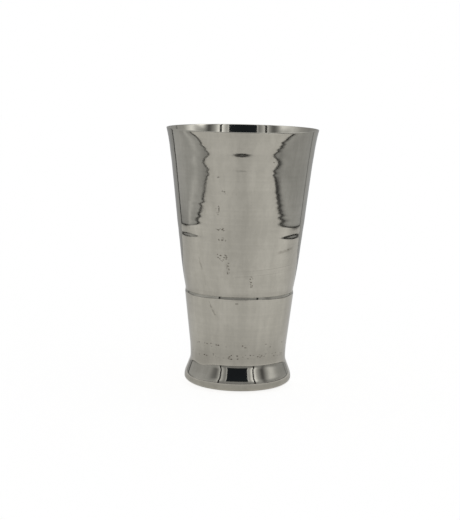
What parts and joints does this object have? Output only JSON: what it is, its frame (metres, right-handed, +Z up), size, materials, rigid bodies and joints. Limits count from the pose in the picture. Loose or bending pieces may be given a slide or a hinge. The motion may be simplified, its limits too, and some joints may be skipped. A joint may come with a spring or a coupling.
{
  "type": "steel lassi glass",
  "caption": "Tall polished steel drinking glass with a flared mouth, a lapped joint a third of the way up and a swelling foot closed by a base plate.",
  "frame": {"origin": "centre of the standing ring, on the surface that the glass stands on", "axes": "+Z up along the turning axis, towards the mouth; the glass is round, so +X and +Y are free"},
  "size_m": [0.0892, 0.0892, 0.152],
  "materials": {
    "polished_steel": "mirror polished",
    "satin_steel": "satin, as pressed",
    "weld_steel": "as welded"
  },
  "bodies": {
    "root": {"tumbler": "polished_steel", "foot_sleeve": "polished_steel", "base_plate": "satin_steel", "floor_weld": "weld_steel"}
  },
  "joints": []
}
